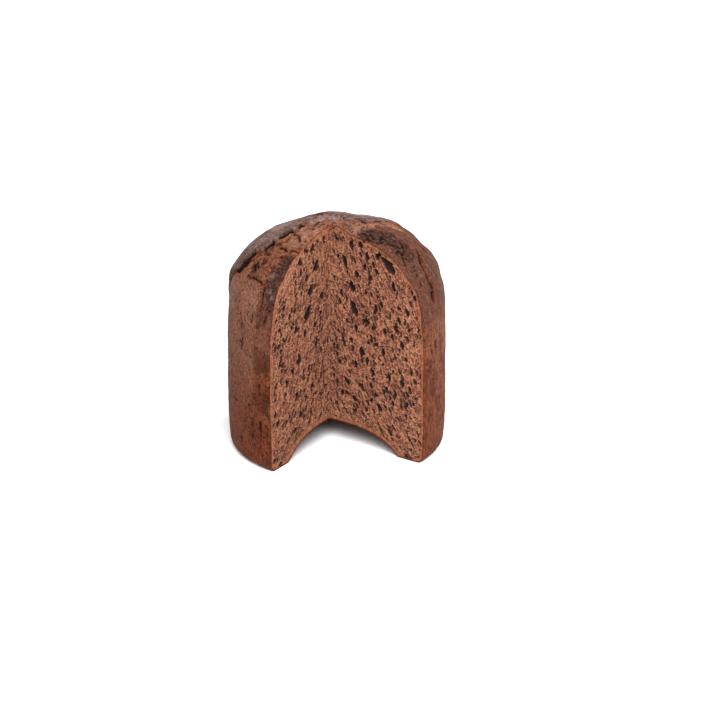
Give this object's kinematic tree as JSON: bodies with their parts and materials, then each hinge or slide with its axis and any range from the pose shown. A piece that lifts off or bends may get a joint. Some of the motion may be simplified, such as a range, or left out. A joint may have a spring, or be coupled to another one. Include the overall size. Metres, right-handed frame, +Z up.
{
  "type": "panettone",
  "caption": "Tall round chocolate sweet bread with a domed, split crust, and a quarter cut away from crown to base so that two faces of open, bubbly crumb show",
  "frame": {"origin": "middle of the base of the uncut loaf, on the surface that it stands on", "axes": "+Z up along the loaf's axis; the missing quarter is towards +X and -Y, with one cut face along -Y and the other along +X"},
  "size_m": [0.1723, 0.1724, 0.1822],
  "materials": {
    "crust": "matte brown baked crust and crumb"
  },
  "bodies": {
    "root": {"panettone": "crust"}
  },
  "joints": []
}
